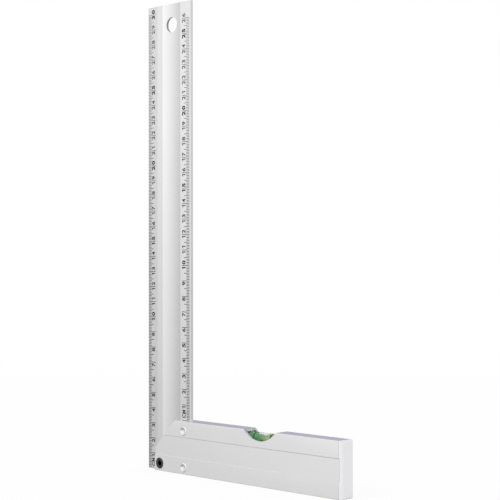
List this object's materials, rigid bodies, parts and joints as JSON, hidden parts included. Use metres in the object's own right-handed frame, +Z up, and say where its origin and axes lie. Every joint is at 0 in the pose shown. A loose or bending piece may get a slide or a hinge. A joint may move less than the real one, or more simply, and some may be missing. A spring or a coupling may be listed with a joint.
{
  "type": "try square with spirit vial",
  "caption": "Aluminium try square: a graduated, hollow-faced blade held at a right angle in a hollow stock with a spirit vial in its top edge.",
  "frame": {"origin": "middle of the footprint, on the surface that the stock stands on", "axes": "+X along the stock from heel to end cap, -Y out of the graduated face, +Z up the blade"},
  "size_m": [0.1728, 0.011, 0.305],
  "materials": {
    "blade": "satin anodised, brushed along its length",
    "scale_ink": "matt black print",
    "stock": "satin anodised",
    "packer": "moulded",
    "black_screw": "black oxide",
    "nut": "zinc plated",
    "rivet": "bright, pressed",
    "vial": "clear acrylic",
    "liquid": "dyed spirit",
    "ring": "printed line",
    "cradle": "moulded",
    "cap": "fine moulded grain"
  },
  "bodies": {
    "root": {"blade": "blade", "scale_outer": "scale_ink", "scale_inner": "scale_ink", "stock": "stock", "packer_front": "packer", "packer_back": "packer", "heel_screw": "black_screw", "heel_nut": "nut", "rivet_lower": "rivet", "rivet_upper": "rivet", "vial_tube": "vial", "vial_plug": "vial", "vial_liquid": "liquid", "vial_ring_left": "ring", "vial_ring_right": "ring", "vial_cradle": "cradle", "end_cap": "cap"}
  },
  "joints": []
}
